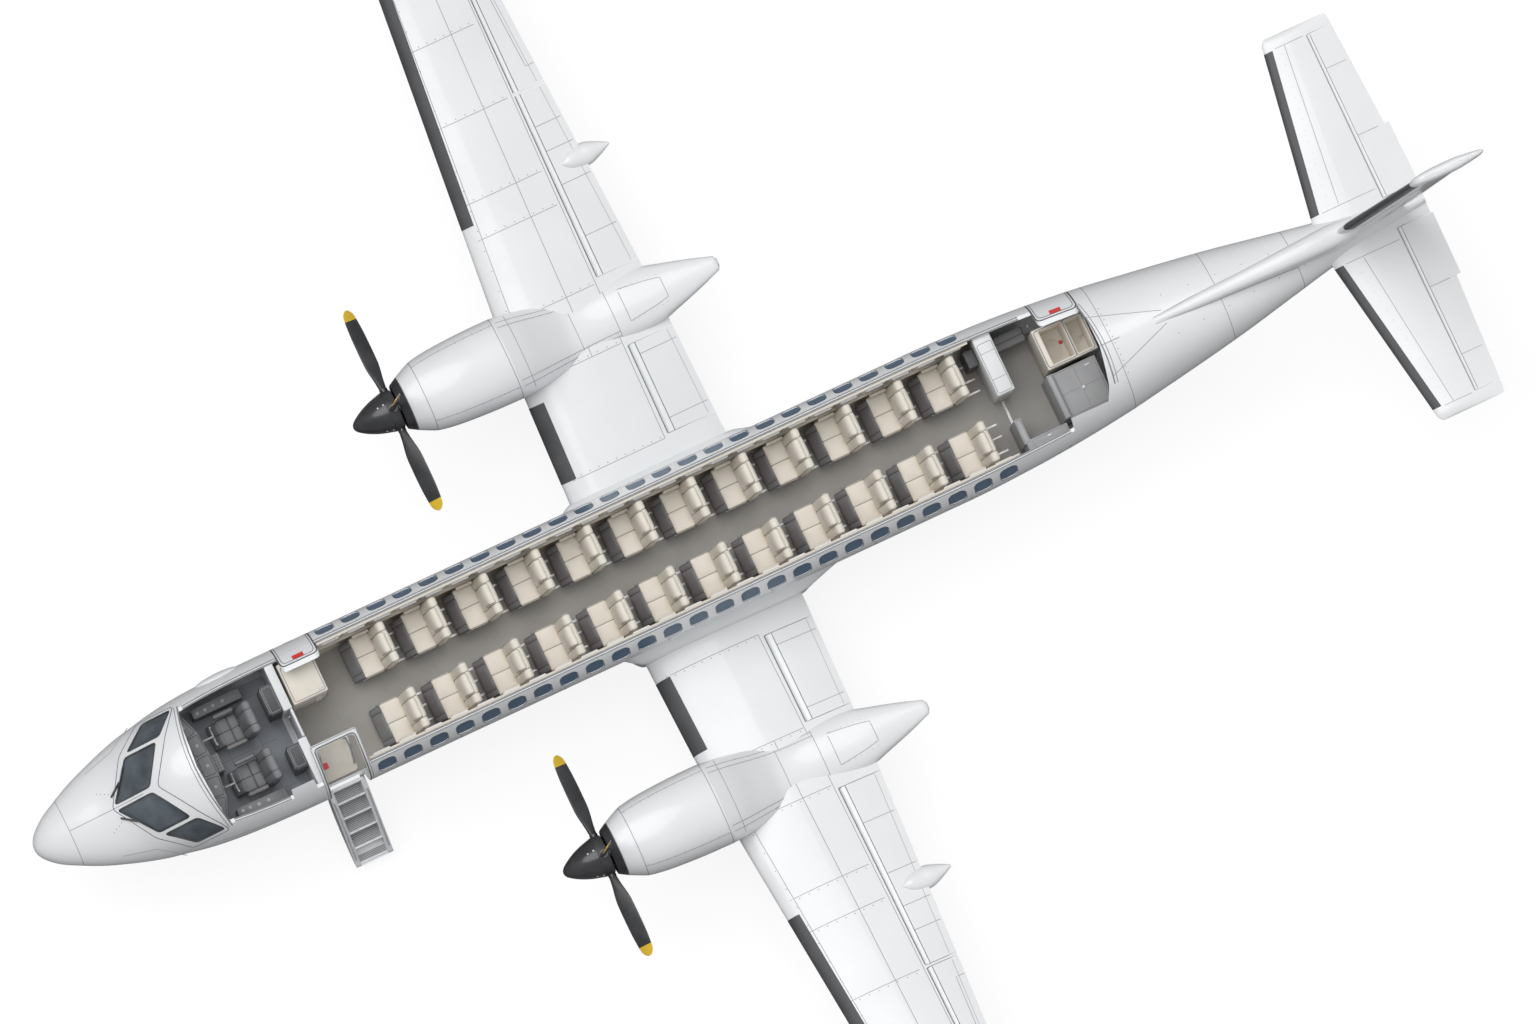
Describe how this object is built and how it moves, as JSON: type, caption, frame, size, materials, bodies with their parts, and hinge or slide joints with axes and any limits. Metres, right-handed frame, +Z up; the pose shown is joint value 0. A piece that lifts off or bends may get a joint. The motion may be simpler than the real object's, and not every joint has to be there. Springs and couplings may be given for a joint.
{
  "type": "twin turboprop airliner",
  "caption": "Low-wing twin-propeller regional airliner on its landing gear, roof cut away over the cockpit and cabin, with an open airstair door.",
  "frame": {"origin": "on the ground under the middle of the whole object's box", "axes": "+X towards the tail, +Y to starboard, +Z up"},
  "size_m": [22.4, 21.4006, 6.4],
  "materials": {
    "white_paint": "gloss",
    "fairing_paint": "gloss",
    "tail_paint": "gloss",
    "control_paint": "gloss",
    "grey_metal": "satin",
    "black_blade": "satin",
    "tyre_rubber": "matte",
    "tinted_glass": "gloss",
    "cabin_carpet": "matte",
    "cockpit_liner": "matte",
    "beige_panel": "satin",
    "grey_panel": "satin",
    "cream_leather": "satin",
    "grey_fabric": "matte"
  },
  "bodies": {
    "airframe": {"radome": "tail_paint", "fuselage_front": "white_paint", "fuselage_cabin": "white_paint", "fuselage_tail": "white_paint", "windscreen_glass": "tinted_glass", "belly_fairing": "fairing_paint", "cabin_floor": "cabin_carpet", "cockpit_floor": "cockpit_liner", "sidewall_trim_left": "beige_panel", "sidewall_trim_right": "beige_panel", "cockpit_bulkhead": "white_paint", "instrument_panel": "cockpit_liner", "pilot_seat_left": "grey_fabric", "pilot_seat_right": "grey_fabric", "passenger_seats_left": "cream_leather", "passenger_seats_right": "cream_leather", "front_galley": "beige_panel", "entry_landing": "beige_panel", "rear_cabinet": "grey_panel", "attendant_seat": "grey_fabric", "lavatory_unit": "beige_panel", "baggage_unit": "grey_panel", "side_cabinet": "grey_panel", "service_door_front": "white_paint", "service_door_rear": "white_paint", "entry_door_frame": "white_paint", "wing_left": "white_paint", "wing_right": "white_paint", "nacelle_left": "white_paint", "nacelle_right": "white_paint", "cowl_left": "white_paint", "cowl_right": "white_paint", "engine_left": "grey_metal", "engine_right": "grey_metal", "tailplane_left": "tail_paint", "tailplane_right": "tail_paint", "fin": "tail_paint", "nose_gear_leg": "grey_metal", "main_gear_leg_left": "grey_metal", "main_gear_leg_right": "grey_metal"},
    "propeller_left": {"spinner_left": "grey_metal", "blades_left": "black_blade"},
    "propeller_right": {"spinner_right": "grey_metal", "blades_right": "black_blade"},
    "nose_steering": {"nose_gear_fork": "grey_metal"},
    "nose_wheel_pair": {"nose_wheels": "tyre_rubber"},
    "main_wheel_pair_left": {"main_wheels_left": "tyre_rubber"},
    "main_wheel_pair_right": {"main_wheels_right": "tyre_rubber"},
    "flaps_left": {"flap_inner_left": "control_paint", "flap_outer_left": "control_paint"},
    "flaps_right": {"flap_inner_right": "control_paint", "flap_outer_right": "control_paint"},
    "left_aileron": {"aileron_left": "control_paint"},
    "right_aileron": {"aileron_right": "control_paint"},
    "left_elevator": {"elevator_left": "control_paint"},
    "right_elevator": {"elevator_right": "control_paint"},
    "rudder_surface": {"rudder": "control_paint"},
    "airstair": {"airstair_door": "white_paint", "airstair_steps": "grey_panel"},
    "flight_deck_door": {"cockpit_door": "grey_panel"}
  },
  "joints": [
    {"name": "propeller_left_spin", "type": "hinge", "parent": "airframe", "child": "propeller_left", "pos_m": [-3.95, -3.5, 2.05], "axis": [-1, 0, 0], "continuous": true},
    {"name": "propeller_right_spin", "type": "hinge", "parent": "airframe", "child": "propeller_right", "pos_m": [-3.95, 3.5, 2.05], "axis": [-1, 0, 0], "continuous": true},
    {"name": "nose_steer", "type": "hinge", "parent": "airframe", "child": "nose_steering", "pos_m": [-9, 0, 0.56], "axis": [0, 0, 1], "range_deg": [-60, 60]},
    {"name": "nose_wheel_roll", "type": "hinge", "parent": "nose_steering", "child": "nose_wheel_pair", "pos_m": [-9, 0, 0.25186], "axis": [0, 1, 0], "continuous": true},
    {"name": "main_wheel_left_roll", "type": "hinge", "parent": "airframe", "child": "main_wheel_pair_left", "pos_m": [-0.75, -3.5, 0.36545], "axis": [0, 1, 0], "continuous": true},
    {"name": "main_wheel_right_roll", "type": "hinge", "parent": "airframe", "child": "main_wheel_pair_right", "pos_m": [-0.75, 3.5, 0.36545], "axis": [0, 1, 0], "continuous": true},
    {"name": "flaps_left_drop", "type": "hinge", "parent": "airframe", "child": "flaps_left", "pos_m": [-0.4, -1.61559, 1.30082], "axis": [0, 0.9947, -0.1026], "range_deg": [0, 40]},
    {"name": "flaps_right_drop", "type": "hinge", "parent": "airframe", "child": "flaps_right", "pos_m": [-0.4, 1.61559, 1.30082], "axis": [0, 0.9947, 0.1026], "range_deg": [0, 40]},
    {"name": "aileron_left_swing", "type": "hinge", "parent": "airframe", "child": "left_aileron", "pos_m": [-0.4, -6.89755, 1.84585], "axis": [0, 0.9947, -0.1026], "range_deg": [-20, 20]},
    {"name": "aileron_right_swing", "type": "hinge", "parent": "airframe", "child": "right_aileron", "pos_m": [-0.4, 6.89755, 1.84585], "axis": [0, 0.9947, 0.1026], "range_deg": [-20, 20]},
    {"name": "elevator_left_swing", "type": "hinge", "parent": "airframe", "child": "left_elevator", "pos_m": [10.083, -0.24, 2.8], "axis": [0, 1, 0], "range_deg": [-25, 15]},
    {"name": "elevator_right_swing", "type": "hinge", "parent": "airframe", "child": "right_elevator", "pos_m": [10.083, 0.24, 2.8], "axis": [0, 1, 0], "range_deg": [-25, 15]},
    {"name": "rudder_swing", "type": "hinge", "parent": "airframe", "child": "rudder_surface", "pos_m": [9.84, 0, 3.34], "axis": [0.3122, 0, 0.95], "range_deg": [-25, 25]},
    {"name": "airstair_close", "type": "hinge", "parent": "airframe", "child": "airstair", "pos_m": [-6.78, -0.97388, 1.47718], "axis": [-1, 0, 0], "range_deg": [0, 155.5]},
    {"name": "flight_deck_door_swing", "type": "hinge", "parent": "airframe", "child": "flight_deck_door", "pos_m": [-7.1075, -0.195, 1.5], "axis": [0, 0, -1], "range_deg": [0, 90]}
  ],
  "couplings": [
    {"joint": "flaps_right_drop", "follows": "flaps_left_drop", "ratio": 1},
    {"joint": "aileron_right_swing", "follows": "aileron_left_swing", "ratio": -1},
    {"joint": "elevator_right_swing", "follows": "elevator_left_swing", "ratio": 1}
  ]
}
